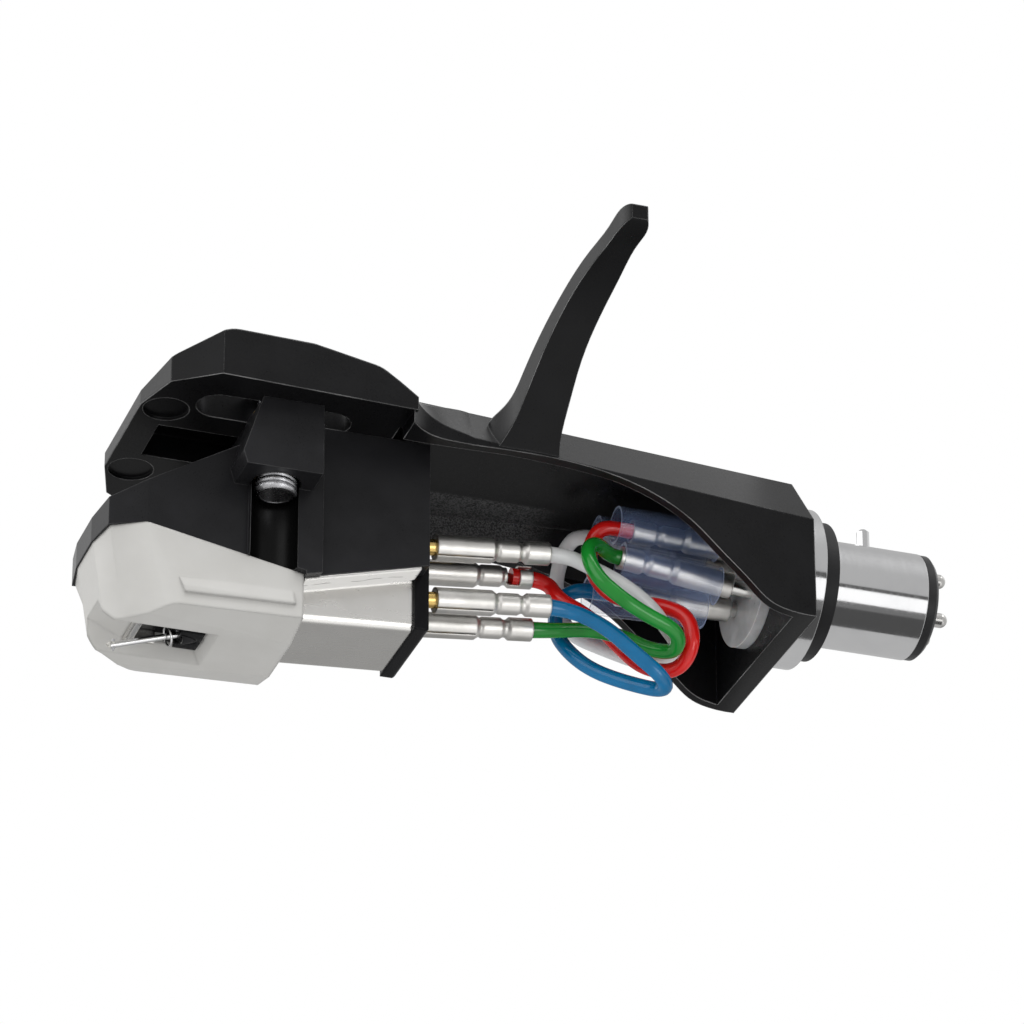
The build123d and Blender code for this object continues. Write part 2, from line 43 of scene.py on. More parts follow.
# places and sizes on the object, in millimetres
LEAD_R = 0.56
CRIMP_R = 0.675
SCREW_X = -43.5
SCREW_Y = 6.35
SCREW_END_Z = -2.36
SCREW_GROOVE_R = 1.75
TROUGH_FRONT_X = -34.7
TROUGH_BACK_X = -18.0
TROUGH_SIDE_Y = 2.6
TROUGH_ROOF_Z = 5.0
BRIM_STARTS_Y = 3.76
BRIM_FULL_Y = 3.80
BRIM_FOLD_Y = 4.75
PIVOT_X = -48.1
PIVOT_Z = -11.15
PIPE_RAKE = math.radians(18.3)
LIP_ALONG_PIPE = -1.36
SKIRT_ALONG_PIPE = 0.2
STONE = (-53.42, 0.0, -12.86)
GUARD_FROM = (-51.72, -1.9, -11.24)
GUARD_TO = (-51.72, 1.9, -11.24)
COLOURS = ("white", "red", "blue", "green")
SPOTS = ("left_top", "left_low", "right_top", "right_low")

# the photograph's view, from below and in front of the finger lift
VIEW_AZIMUTH = math.radians(-18.976)
VIEW_HEIGHT = math.radians(-28.025)
VIEW_ROLL = math.radians(-0.168)
VIEW_TARGET = (-23.658, 0.0, 2.738)
VIEW_DISTANCE = 400.636
FOCAL_PIXELS = 5475.556
PICTURE_PIXELS = 1024.0
SENSOR_WIDTH = 36.0

# studio, in metres
FLOOR_Z = -0.7
FLOOR_HALF = 3.0
STUDIO_MIDDLE = (-0.024, 0, 0)

# reflecting cards round the plug, in millimetres
CARD_AWAY = 16.0
CARD_ENDS_X = (-2.0, 18.0)
CARD_STEPS = 6


def metres(place):
    return tuple(v * MM for v in place)


def aim_camera():
    back = Vector((
        math.sin(VIEW_AZIMUTH) * math.cos(VIEW_HEIGHT),
        -math.cos(VIEW_AZIMUTH) * math.cos(VIEW_HEIGHT),
        math.sin(VIEW_HEIGHT),
    ))
    data = bpy.data.cameras.new("camera")
    data.sensor_width = SENSOR_WIDTH
    data.lens = FOCAL_PIXELS * SENSOR_WIDTH / PICTURE_PIXELS
    data.clip_start = 0.01
    data.clip_end = 20.0
    camera = bpy.data.objects.new("camera", data)
    scene.collection.objects.link(camera)
    look = (-back).to_track_quat("-Z", "Y").to_matrix().to_4x4()
    turn = look @ Matrix.Rotation(VIEW_ROLL, 4, "Z")
    target = Vector(VIEW_TARGET) * MM
    camera.matrix_world = Matrix.Translation(target + back * VIEW_DISTANCE * MM) @ turn
    scene.camera = camera


aim_camera()


class Value:
    """A wrapped socket that takes the usual operators."""

    def __init__(self, net, socket):
        self.net = net
        self.socket = socket

    def maths(self, operation, *terms):
        return self.net.add("ShaderNodeMath", {"operation": operation}, dict(enumerate(terms)))

    def __add__(self, other):
        return self.maths("ADD", self, other)

    def __radd__(self, other):
        return self.maths("ADD", other, self)

    def __sub__(self, other):
        return self.maths("SUBTRACT", self, other)

    def __rsub__(self, other):
        return self.maths("SUBTRACT", other, self)

    def __mul__(self, other):
        return self.maths("MULTIPLY", self, other)

    def __rmul__(self, other):
        return self.maths("MULTIPLY", other, self)

    def __pow__(self, other):
        return self.maths("POWER", self, other)

    def __abs__(self):
        return self.maths("ABSOLUTE", self)

    def sign(self):
        return self.maths("SIGN", self)

    def above(self, low, high):
        """Nothing up to the low value, one from the high value, smooth between."""
        smooth = {"interpolation_type": "SMOOTHSTEP"}
        return self.net.add("ShaderNodeMapRange", smooth, {0: self, 1: low, 2: high})


class Net:
    """A node tree, and the one way to add to it."""

    def __init__(self, tree):
        self.tree = tree

    def add(self, kind, settings=None, sockets=None, out=0):
        node = self.tree.nodes.new(kind)
        for name, value in (settings or {}).items():
            setattr(node, name, value)
        for name, value in (sockets or {}).items():
            self.feed(node.inputs[name], value)
        return Value(self, node.outputs[out])

    def feed(self, socket, value):
        if isinstance(value, Value):
            self.tree.links.new(value.socket, socket)
        else:
            socket.default_value = value

    def vector(self, operation, sockets, out="Vector"):
        return self.add("ShaderNodeVectorMath", {"operation": operation}, sockets, out)

    def mix(self, factor, first, second):
        first, second = [c if isinstance(c, Value) else (*c, 1.0) for c in (first, second)]
        sockets = {0: factor, 6: first, 7: second}
        return self.add("ShaderNodeMix", {"data_type": "RGBA"}, sockets, out=2)


class Finish(Net):
    """One surface: a shader with its fixed values, then whatever changes over it."""

    def __init__(self, name, **fixed):
        self.material = bpy.data.materials.new(name)
        self.material.use_nodes = True
        super().__init__(self.material.node_tree)
        self.shader = self.tree.nodes["Principled BSDF"]
        self.set(**fixed)
        self.place = self.add("ShaderNodeTexCoord", out="Object")

    def set(self, **sockets):
        for name, value in sockets.items():
            self.feed(self.shader.inputs[name.replace("_", " ")], value)
        return self.material

    def noise(self, per_mm, detail, stretch=None):
        spot = self.place
        if stretch:
            spot = self.add("ShaderNodeMapping", None, {"Vector": spot, "Scale": stretch})
        sockets = {"Vector": spot, "Scale": per_mm / MM, "Detail": detail, "Roughness": 0.55}
        return self.add("ShaderNodeTexNoise", None, sockets)

    def axis(self, letter):
        return self.add("ShaderNodeSeparateXYZ", None, {0: self.place}, out=letter)

    def facing(self, letter):
        """How far the surface faces along one axis."""
        normal = self.add("ShaderNodeNewGeometry", out="Normal")
        return self.add("ShaderNodeSeparateXYZ", None, {0: normal}, out=letter)

    def rounded(self, radius_mm):
        """Normal that turns smoothly over an edge."""
        return self.add("ShaderNodeBevel", {"samples": 6}, {"Radius": radius_mm * MM})

    def edge(self, rounded):
        """One close to an edge, nothing on the flat."""
        flat = self.add("ShaderNodeNewGeometry", out="Normal")
        alike = self.vector("DOT_PRODUCT", {0: rounded, 1: flat}, out="Value")
        return (1.0 - alike).above(0.08, 0.26)

    def open_air(self, reach_mm):
        """One on outer edges, nothing in inner corners."""
        own = {"samples": 4, "only_local": True}
        reach = {"Distance": reach_mm * MM}
        return self.add("ShaderNodeAmbientOcclusion", own, reach, out="AO").above(0.7, 0.95)

    def bump(self, height, depth_mm, strength, under=None):
        sockets = {"Strength": strength, "Distance": depth_mm * MM, "Height": height}
        if under is not None:
            sockets["Normal"] = under
        return self.add("ShaderNodeBump", None, sockets)


def trough_sand_and_painted_light(f, body, grain):
    """Sandy skin on the ceiling and the far wall of the wiring trough, with painted light: pale
    grey grains only on the lit far part, while the shaded near band stays black.
    """
    front, back = TROUGH_FRONT_X * MM, TROUGH_BACK_X * MM
    side, roof = TROUGH_SIDE_Y * MM, TROUGH_ROOF_Z * MM
    along, across, up = [f.axis(letter) for letter in "XYZ"]
    at_roof = 1.0 - abs(up - roof).above(0.05 * MM, 0.1 * MM)
    under_roof = 1.0 - up.above(roof, roof + 0.1 * MM)
    ceiling = (f.facing("Z") * -1.0).above(0.8, 0.95) * at_roof
    wall = (f.facing("Y") * -1.0).above(0.5, 0.8) * under_roof
    length = along.above(front, front + 0.2 * MM) * (1.0 - along.above(back - 3.5 * MM, back))
    inside_lit_part = length * (ceiling + wall) * across.above(side, side + 0.5 * MM)
    coarse = f.noise(8.5, 1.0)
    # painted light: pale grey on the sand grains, only where light falls
    lit_sand = f.mix(inside_lit_part * coarse.above(0.35, 0.65), body, (0.065, 0.065, 0.066))
    return lit_sand, grain + inside_lit_part * coarse * 2.0


def screw_groove_shade(f, body, grain):
    """Painted shade: near-black colour in the two grooves that the screws pass through."""
    reach = SCREW_GROOVE_R * MM
    off_x = f.axis("X") - SCREW_X * MM
    off_y = abs(f.axis("Y")) - SCREW_Y * MM
    from_screw = (off_x ** 2.0 + off_y ** 2.0) ** 0.5
    # painted shade inside the concave groove round each screw
    groove_shade = 1.0 - from_screw.above(reach, reach * 1.06)
    return f.mix(groove_shade, body, (0.002, 0.002, 0.002)), grain


def cast_black(name, base, edge_highlight_colour, rough, grain_mm, edge_mm, specular, marks_and_painted_light):
    """Fine-grained black, with painted highlight lines along its outer edges and none in inner
    corners.
    """
    f = Finish(name, Specular_IOR_Level=specular)
    soft = f.rounded(edge_mm)
    cloud = f.noise(0.25, 4.0)
    grain = f.noise(1.0 / grain_mm, 4.0)
    # painted highlight: paler colour along outer edges, broken up by noise
    edge_highlight = f.edge(soft) * f.open_air(0.5) * (cloud.above(0.35, 0.65) * 0.7 + 0.3)
    body = f.mix(cloud.above(0.3, 0.7), base, [c * 1.5 for c in base])
    body, height = marks_and_painted_light(f, body, grain)
    return f.set(
        Base_Color=f.mix(edge_highlight, body, edge_highlight_colour),
        Roughness=grain * 0.22 + (rough - 0.11) + cloud * 0.06,
        Normal=f.bump(height, grain_mm * 0.06, 0.5, soft),
    )


def moulded(name, base, shade, rough, grain_mm, edge_mm, specular=0.5):
    f = Finish(name, Specular_IOR_Level=specular)
    cloud = f.noise(0.3, 3.0)
    grain = f.noise(1.0 / grain_mm, 3.0)
    return f.set(
        Base_Color=f.mix(cloud.above(0.3, 0.7), base, shade),
        Roughness=grain * 0.14 + (rough - 0.07),
        Normal=f.bump(grain, grain_mm * 0.04, 0.4, f.rounded(edge_mm)),
    )


def metal(name, base, tarnish, rough, brush, edge_mm=0.08, lines=0.3, dents=0.0):
    """Bright metal with brush lines, cloudy tarnish and, if asked, shallow dents."""
    f = Finish(name, Metallic=1.0)
    skin = f.rounded(edge_mm)
    if dents:
        skin = f.bump(f.noise(0.9, 2.0), dents, 0.6, skin)
    cloud = f.noise(0.4, 4.0)
    streak = f.noise(1.0, 2.0, brush)
    return f.set(
        Base_Color=f.mix(cloud.above(0.35, 0.8), base, tarnish),
        Roughness=streak * 0.16 + cloud * 0.08 + (rough - 0.12),
        Normal=f.bump(streak, 0.002, lines, skin),
    )


def shield_sheet(name, base, tarnish):
    """Folded sheet: smooth walls, and a flared brim with fold and handling lines."""
    f = Finish(name, Metallic=1.0)
    across = f.axis("Y")
    off_middle = abs(across)
    brim = off_middle.above(BRIM_STARTS_Y * MM, BRIM_FULL_Y * MM)
    flare = f.add("ShaderNodeCombineXYZ", None, {"Y": brim * across.sign() * 0.9})
    tilted = f.vector("ADD", {0: f.rounded(0.25), 1: flare})
    cloud = f.noise(0.3, 3.0)
    brush = f.noise(1.0, 2.0, (0.15, 2.0, 2.0))
    wander = (f.noise(0.35, 3.0) - 0.5) * (0.9 * MM)
    fold = abs(off_middle - BRIM_FOLD_Y * MM + wander)
    broken = f.noise(0.5, 2.0).above(0.42, 0.5)
    scratch = (1.0 - fold.above(0.015 * MM, 0.05 * MM)) * brim * broken
    walls = f.mix(cloud.above(0.35, 0.8), base, tarnish)
    sheet = f.mix(brim, walls, [c * 0.80 for c in base])
    return f.set(
        Base_Color=f.mix(scratch * 0.8, sheet, (0.12, 0.115, 0.11)),
        Roughness=brush * 0.05 + cloud * 0.06 + 0.22,
        Normal=f.bump(brush, 0.0004, 0.2, f.vector("NORMALIZE", {0: tilted})),
    )


def jacket(name, base, shade):
    """Smooth lead jacket, a little uneven along its run."""
    f = Finish(name, Specular_IOR_Level=0.50)
    cloud = f.noise(0.5, 3.0)
    grain = f.noise(6.0, 3.0)
    return f.set(
        Base_Color=f.mix(cloud.above(0.3, 0.75), base, shade),
        Roughness=grain * 0.08 + 0.06 + cloud * 0.08,
        Normal=f.bump(cloud * 0.7 + grain * 0.3, 0.03, 0.35),
    )


def winding(name, base, shade):
    """Turns of enamelled wire."""
    f = Finish(name, Metallic=0.8)
    bands = {"Vector": f.place, "Scale": 8.0 / MM, "Distortion": 0.4, "Detail": 1.0}
    turns = f.add("ShaderNodeTexWave", {"bands_direction": "X"}, bands, out="Fac")
    return f.set(
        Base_Color=f.mix(turns, shade, base),
        Roughness=turns * 0.1 + 0.3,
        Normal=f.bump(turns, 0.03, 0.8),
    )


def clear_tube(name):
    """Clear sleeve: faint blue body and glossy streaks, with painted reflection: paler colour
    and more opacity at grazing rims and on the cut ends.
    """
    f = Finish(name, Specular_IOR_Level=1.0, Coat_Weight=1.0, Coat_IOR=1.8, Coat_Roughness=0.06)
    cloud = f.noise(0.25, 3.0)
    scuff = f.noise(1.5, 4.0, (0.15, 1.0, 1.0))
    rim = f.add("ShaderNodeLayerWeight", None, {"Blend": 0.5}, out="Facing").above(0.6, 1.0)
    cut_end_highlight = abs(f.facing("X")).above(0.7, 0.9)
    haze = cloud.above(0.3, 0.7) * 0.05 + scuff.above(0.5, 0.8) * 0.05
    tint = f.mix(cloud, (0.24, 0.36, 0.72), (0.40, 0.53, 0.88))
    return f.set(
        # painted reflection at grazing rims and painted highlight on the cut ends
        Base_Color=f.mix(cut_end_highlight + rim * 0.4, tint, (0.62, 0.72, 0.95)),
        Roughness=scuff.above(0.45, 0.8) * 0.15 + 0.05,
        Alpha=haze + 0.10 + rim * 0.30 + cut_end_highlight * 0.5,
        Normal=f.bump(cloud, 0.06, 0.4),
    )


def cloudy_grey(name):
    """Milky grey insulator with a painted highlight along its edges."""
    f = Finish(name, Subsurface_Weight=0.15, Subsurface_Scale=0.0006)
    cloud = f.noise(0.8, 4.0)
    soft = f.rounded(0.1)
    body = f.mix(cloud.above(0.3, 0.7), (0.36, 0.365, 0.37), (0.47, 0.475, 0.48))
    return f.set(
        # painted highlight: paler colour along the edges
        Base_Color=f.mix(f.edge(soft) * 0.8, body, (0.8, 0.8, 0.8)),
        Roughness=cloud * 0.25 + 0.2,
        Normal=f.bump(cloud, 0.03, 0.4, soft),
    )


def polished_stone(name):
    f = Finish(name, Transmission_Weight=0.6, IOR=2.0)
    cloud = f.noise(6.0, 2.0)
    return f.set(
        Base_Color=f.mix(cloud, (0.75, 0.76, 0.78), (0.5, 0.5, 0.52)),
        Roughness=cloud * 0.1 + 0.08,
    )


def cured_resin(name):
    f = Finish(name, Specular_IOR_Level=0.7)
    cloud = f.noise(5.0, 3.0)
    return f.set(
        Base_Color=f.mix(cloud.above(0.4, 0.7), (0.62, 0.61, 0.57), (0.18, 0.17, 0.15)),
        Roughness=cloud * 0.2 + 0.1,
    )


# black finishes
# the edge colours below are painted highlights along the outer edges
casting_coat = cast_black(
    "casting_coat", base=(0.0038, 0.0038, 0.0042), edge_highlight_colour=(0.45, 0.45, 0.45),
    rough=0.28, grain_mm=0.16, edge_mm=0.18, specular=0.16, marks_and_painted_light=trough_sand_and_painted_light,
)
body_satin = cast_black(
    "body_satin", base=(0.0095, 0.0095, 0.0105), edge_highlight_colour=(0.12, 0.12, 0.122),
    rough=0.28, grain_mm=0.10, edge_mm=0.12, specular=0.16, marks_and_painted_light=screw_groove_shade,
)
black_moulding = moulded(
    "black_moulding", base=(0.004, 0.004, 0.0045), shade=(0.006, 0.006, 0.007),
    rough=0.24, grain_mm=0.1, edge_mm=0.3, specular=0.1,
)
cap_moulding = moulded(
    "cap_moulding", base=(0.020, 0.020, 0.021), shade=(0.026, 0.026, 0.027),
    rough=0.30, grain_mm=0.1, edge_mm=0.25, specular=0.2,
)
soft_black = moulded(
    "soft_black", base=(0.016, 0.016, 0.017), shade=(0.022, 0.022, 0.023),
    rough=0.45, grain_mm=0.12, edge_mm=0.1, specular=0.2,
)

# pale, grey and clear finishes
pale_moulding = moulded(
    "pale_moulding", base=(0.495, 0.488, 0.468), shade=(0.52, 0.514, 0.495),
    rough=0.38, grain_mm=0.12, edge_mm=0.34, specular=0.3,
)
cream_moulding = moulded(
    "cream_moulding", base=(0.62, 0.58, 0.46), shade=(0.68, 0.65, 0.55),
    rough=0.45, grain_mm=0.1, edge_mm=0.08,
)
clear_sleeve = clear_tube("clear_sleeve")
grey_insulator = cloudy_grey("grey_insulator")
diamond = polished_stone("diamond_chip")
resin = cured_resin("cured_resin")

# metals
bright_chrome = metal(
    "bright_chrome", base=(0.82, 0.82, 0.825), tarnish=(0.77, 0.77, 0.78),
    rough=0.12, brush=(4.0, 0.3, 0.3), edge_mm=0.12, lines=0.05,
)
nickel_sheet = shield_sheet(
    "nickel_sheet", base=(0.90, 0.885, 0.855), tarnish=(0.84, 0.825, 0.795),
)
tinned_sheet = metal(
    "tinned_sheet", base=(0.79, 0.77, 0.74), tarnish=(0.62, 0.61, 0.58),
    rough=0.40, brush=(0.6, 2.0, 2.0), edge_mm=0.18, dents=0.05,
)
contact_silver = metal(
    "contact_silver", base=(0.74, 0.73, 0.71), tarnish=(0.58, 0.57, 0.55),
    rough=0.22, brush=(2.0, 2.0, 2.0),
)
gold_plate = metal(
    "gold_plate", base=(0.86, 0.62, 0.24), tarnish=(0.68, 0.45, 0.14),
    rough=0.24, brush=(2.0, 2.0, 2.0),
)
turned_brass = metal(
    "turned_brass", base=(0.62, 0.46, 0.20), tarnish=(0.45, 0.32, 0.14),
    rough=0.34, brush=(1.0, 1.0, 8.0),
)
plated_steel = metal(
    "plated_steel", base=(0.70, 0.70, 0.72), tarnish=(0.50, 0.50, 0.52),
    rough=0.28, brush=(2.0, 2.0, 2.0), edge_mm=0.36, lines=0.4, dents=0.05,
)
drawn_aluminium = metal(
    "drawn_aluminium", base=(0.82, 0.82, 0.82), tarnish=(0.66, 0.66, 0.66),
    rough=0.22, brush=(0.5, 6.0, 6.0), edge_mm=0.04,
)
core_alloy = metal(
    "core_alloy", base=(0.45, 0.45, 0.45), tarnish=(0.34, 0.34, 0.34),
    rough=0.4, brush=(0.5, 4.0, 4.0),
)
magnet_bare = metal(
    "magnet_bare", base=(0.32, 0.32, 0.33), tarnish=(0.22, 0.22, 0.23),
    rough=0.38, brush=(1.0, 3.0, 3.0),
)
copper_winding = winding("copper_winding", base=(0.62, 0.27, 0.10), shade=(0.25, 0.09, 0.03))

# lead jackets
jackets = {
    "white": jacket("jacket_white", base=(0.68, 0.68, 0.68), shade=(0.60, 0.60, 0.61)),
    "red": jacket("jacket_red", base=(0.72, 0.012, 0.010), shade=(0.58, 0.008, 0.008)),
    "blue": jacket("jacket_blue", base=(0.0, 0.155, 0.36), shade=(0.0, 0.12, 0.28)),
    "green": jacket("jacket_green", base=(0.010, 0.24, 0.026), shade=(0.007, 0.18, 0.018)),
}


def dress(material, *names):
    for name in names:
        mesh = nodes[name].data
        mesh.materials.clear()
        mesh.materials.append(material)


dress(casting_coat, "headshell_body")
dress(bright_chrome, "plug_barrel", "locating_pin")
dress(soft_black, "rubber_washer", "damper_ring")
dress(contact_silver, *["contact_pin_" + s for s in SPOTS])
dress(gold_plate, *["terminal_pin_" + c for c in COLOURS])
dress(cap_moulding, "plug_insulator")
dress(black_moulding, "rear_plate", "suspension_block")
dress(grey_insulator, "insulator_disc")
dress(body_satin, "cartridge_body")
dress(turned_brass, "threaded_insert_left", "threaded_insert_right")
dress(plated_steel, "mounting_screw_left", "mounting_screw_right")
dress(nickel_sheet, "shield_case", "guard_plate")
dress(core_alloy, "pole_piece_left", "pole_piece_right")
dress(cream_moulding, "bobbin_left", "bobbin_right")
dress(copper_winding, "coil_left", "coil_right")
dress(pale_moulding, "stylus_holder")
dress(drawn_aluminium, "joint_pipe", "cantilever")
dress(magnet_bare, "magnet")
dress(diamond, "stylus_tip")
dress(tinned_sheet, *["clip_" + c for c in COLOURS], *["shell_clip_" + c for c in COLOURS])
dress(clear_sleeve, *["sleeve_" + c for c in COLOURS])

# leads: one smooth line each, from the cartridge clip to the plug clip
lead_routes = {
    "white": [
        (-23.09, -2.0, -1.53), (-20.31, -2.0, -1.24), (-18.69, -2.37, -2.04),
        (-16.45, -3.18, -3.43), (-14.15, -3.03, -4.82), (-12.26, -1.7, -5.94),
        (-10.34, 0.37, -6.32), (-12.11, 2.74, -6.72), (-15.22, 4.01, -5.22),
        (-17.43, 4.85, -4.04), (-18.27, 5.15, -2.21), (-18.67, 4.82, 0.52),
        (-18.1, 3.3, 3.0), (-17.26, 1.62, 2.631), (-15.36, 1.62, 2.465),
        (-13.47, 1.62, 2.3),
    ],
    "red": [
        (-23.09, 2.0, -1.53), (-20.4, 2.0, -1.25), (-19.7, 1.25, -3.2),
        (-17.55, 0.85, -4.33), (-15.0, 1.95, -5.7), (-13.4, 0.75, -8.1),
        (-11.2, -0.6, -8.7), (-10.6, -2.6, -7.4), (-10.9, -2.5, -4.9),
        (-12.7, -1.3, -3.75), (-14.6, -0.9, -3.7), (-16.6, -0.75, -3.2),
        (-17.6, -0.35, -1.5), (-17.9, -0.45, 0.55), (-17.35, -1.62, 1.823),
        (-15.2, -1.62, 1.786), (-13.5, -1.62, 1.756),
    ],
    "blue": [
        (-23.09, -2.0, -5.8), (-20.31, -2.0, -5.51), (-17.4, -2.75, -7.0),
        (-15.31, -3.03, -8.94), (-13.02, -2.85, -10.49), (-12.31, -1.13, -10.68),
        (-14.74, 0.72, -9.44), (-16.9, 1.95, -8.2), (-18.45, 2.65, -6.65),
        (-19.3, 3.3, -4.8), (-19.1, 3.15, -2.4), (-18.2, 1.62, -1.947),
        (-16.4, 1.62, -1.9), (-13.5, 1.62, -1.824),
    ],
    "green": [
        (-23.09, 2.0, -5.8), (-20.2, 2.0, -5.496), (-17.6, 0.3, -5.75),
        (-15.2, -0.35, -6.3), (-13.4, -0.9, -7.35), (-11.9, -2.45, -8.05),
        (-12.3, -4.1, -7.2), (-14.95, -4.55, -6.5), (-17.01, -4.86, -5.62),
        (-18.91, -4.69, -4.03), (-19.45, -4.15, -1.8), (-18.25, -3.05, -0.35),
        (-16.7, -1.62, -0.464), (-15.84, -1.62, -0.554), (-14.45, -1.62, -0.7),
    ],
}


def run_lead(name, route):
    data = bpy.data.curves.new("lead_line_" + name, "CURVE")
    data.dimensions = "3D"
    spline = data.splines.new("NURBS")
    spline.points.add(len(route) - 1)
    for point, place in zip(spline.points, route):
        point.co = (*(Vector(place) * MM), 1.0)
    for end in (0, -1):
        spline.points[end].radius = CRIMP_R / LEAD_R
    spline.order_u = 3
    spline.use_endpoint_u = True
    spline.resolution_u = 10
    data.bevel_depth = LEAD_R * MM
    data.bevel_resolution = 6
    data.use_fill_caps = True
    data.materials.append(jackets[name])
    lead = bpy.data.objects.new("lead_jacket_" + name, data)
    scene.collection.objects.link(lead)
    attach(lead, "shell")
    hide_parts("lead_" + name)


for lead_name, lead_route in lead_routes.items():
    run_lead(lead_name, lead_route)


class Shape(Net):
    """A geometry tree with named inputs, run once and kept as a mesh."""

    def __init__(self, name):
        self.name = name
        super().__init__(bpy.data.node_groups.new(name, "GeometryNodeTree"))
        self.tree.interface.new_socket(
            "Geometry", in_out="OUTPUT", socket_type="NodeSocketGeometry"
        )
        self.source = self.tree.nodes.new("NodeGroupInput")

    def number(self, name, value):
        socket = self.tree.interface.new_socket(
            name, in_out="INPUT", socket_type="NodeSocketFloat"
        )
        socket.default_value = value
        return Value(self, self.source.outputs[name])

    def circle(self, points, radius):
        sockets = {"Resolution": points, "Radius": radius}
        return self.add("GeometryNodeCurvePrimitiveCircle", None, sockets)

    def sweep(self, line, profile, capped=False):
        sockets = {"Curve": line, "Profile Curve": profile, "Fill Caps": capped}
        return self.add("GeometryNodeCurveToMesh", None, sockets)

    def moved(self, geometry, place_mm, **turned):
        sockets = {"Geometry": geometry, "Translation": metres(place_mm), **turned}
        return self.add("GeometryNodeTransform", None, sockets)

    def join(self, *pieces):
        node = self.tree.nodes.new("GeometryNodeJoinGeometry")
        for piece in pieces:
            self.feed(node.inputs[0], piece)
        return Value(self, node.outputs[0])

    def keep(self, geometry, material, body, slot):
        """Turns the tree's result into a plain mesh that rides on a body."""
        real = self.add("GeometryNodeRealizeInstances", None, {"Geometry": geometry})
        coat = {"Geometry": real, "Material": material}
        end = self.tree.nodes.new("NodeGroupOutput")
        self.feed(end.inputs[0], self.add("GeometryNodeSetMaterial", None, coat))
        piece = bpy.data.objects.new(self.name, bpy.data.meshes.new(self.name + "_seed"))
        scene.collection.objects.link(piece)
        step = piece.modifiers.new(self.name, "NODES")
        step.node_group = self.tree
        bpy.context.view_layer.update()
        result = piece.evaluated_get(bpy.context.evaluated_depsgraph_get())
        mesh = bpy.data.meshes.new_from_object(result)
        piece.modifiers.remove(step)
        piece.data = mesh
        if not mesh.materials:
            mesh.materials.append(material)
        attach(piece, body)


def on_pipe(along):
    """Place on the joint pipe's axis, measured back from the pivot."""
    x = PIVOT_X + along * math.cos(PIPE_RAKE)
    z = PIVOT_Z + along * math.sin(PIPE_RAKE)
    return (x, 0.0, z)


ROUND_PIPE = (0.0, math.pi / 2 - PIPE_RAKE, 0.0)


def screw_end(name, y):
    """Thread turns and chamfered rim on the screw end below the cartridge lug."""
    g = Shape("screw_thread_" + name)
    turns = g.number("Turns", 4.0)
    pitch = g.number("Pitch", 0.40 * MM)
    radius = g.number("Radius", 1.36 * MM)
    depth = g.number("Depth", 0.15 * MM)
    spiral = g.add("GeometryNodeCurveSpiral", None, {
        "Resolution": 40,
        "Rotations": turns,
        "Start Radius": radius,
        "End Radius": radius,
        "Height": turns * pitch,
    })
    ridge = g.sweep(spiral, g.circle(6, depth), capped=True)
    rim = g.circle(40, g.number("Rim", 1.17 * MM))
    chamfer = g.circle(10, g.number("Chamfer", 0.17 * MM))
    both = g.join(ridge, g.sweep(rim, chamfer))
    placed = g.moved(both, (SCREW_X, y, SCREW_END_Z))
    g.keep(placed, plated_steel, "shell", "screw_steel")


def tip_resin():
    """Drop of resin that holds the stone at the cantilever's end."""
    g = Shape("tip_resin")
    size = g.number("Size", 0.30 * MM)
    ball = g.add("GeometryNodeMeshIcoSphere", None, {"Radius": size, "Subdivisions": 4})
    place = g.add("GeometryNodeInputPosition")
    grain = {"Vector": place, "Scale": 3.5 / MM, "Detail": 2.0}
    lumps = (g.add("ShaderNodeTexNoise", None, grain) - 0.5) * (0.35 * MM)
    push = g.vector("SCALE", {"Vector": g.add("GeometryNodeInputNormal"), "Scale": lumps})
    lumpy = g.add("GeometryNodeSetPosition", None, {"Geometry": ball, "Offset": push})
    placed = g.moved(lumpy, STONE, Scale=(1.25, 0.85, 0.75))
    g.keep(placed, resin, "cantilever", "diamond")


def carrier_lip():
    """Bright rolled lip on the carrier, round the cantilever."""
    g = Shape("carrier_lip")
    ring = g.circle(48, g.number("Radius", 0.70 * MM))
    wire = g.circle(12, g.number("Wire", 0.08 * MM))
    placed = g.moved(g.sweep(ring, wire), on_pipe(LIP_ALONG_PIPE), Rotation=ROUND_PIPE)
    g.keep(placed, drawn_aluminium, "stylus", "thin_aluminium")


def guard_bead():
    """Rolled inner edge of the guard plate, at the front of the mouth."""
    g = Shape("guard_bead")
    ends = {0: metres(GUARD_FROM), 1: metres(GUARD_TO)}
    line = g.add("GeometryNodeCurvePrimitiveLine", None, ends)
    roll = g.circle(20, g.number("Radius", 0.28 * MM))
    g.keep(g.sweep(line, roll, capped=True), drawn_aluminium, "stylus", "shield_nickel")


def damper_skirt():
    """Soft skirt of the damper round the front of the joint pipe."""
    g = Shape("damper_skirt")
    ring = g.circle(48, g.number("Radius", 0.72 * MM))
    wall = g.add("GeometryNodeCurvePrimitiveQuadrilateral", None, {
        "Width": g.number("Wall", 0.06 * MM),
        "Height": g.number("Length", 1.4 * MM),
    })
    placed = g.moved(g.sweep(ring, wall), on_pipe(SKIRT_ALONG_PIPE), Rotation=ROUND_PIPE)
    g.keep(placed, soft_black, "stylus", "damper_rubber")


screw_end("left", -SCREW_Y)
screw_end("right", SCREW_Y)
tip_resin()
carrier_lip()
guard_bead()
damper_skirt()


def stage_piece(name, bm):
    mesh = bpy.data.meshes.new(name)
    bm.to_mesh(mesh)
    bm.free()
    piece = bpy.data.objects.new(name, mesh)
    scene.collection.objects.link(piece)
    return piece


def lay_floor():
    """Plain pale floor, far below the object."""
    bm = bmesh.new()
    bmesh.ops.create_grid(bm, x_segments=4, y_segments=4, size=FLOOR_HALF)
    bmesh.ops.translate(bm, verts=bm.verts, vec=(0, 0, FLOOR_Z))
    floor = stage_piece("floor", bm)
    floor.visible_glossy = False
    f = Finish("floor_paint", Specular_IOR_Level=0.2)
    paint = f.noise(0.002, 2.0)
    floor.data.materials.append(f.set(
        Base_Color=f.mix(paint, (0.84, 0.84, 0.84), (0.88, 0.88, 0.88)),
        Roughness=paint * 0.1 + 0.6,
    ))


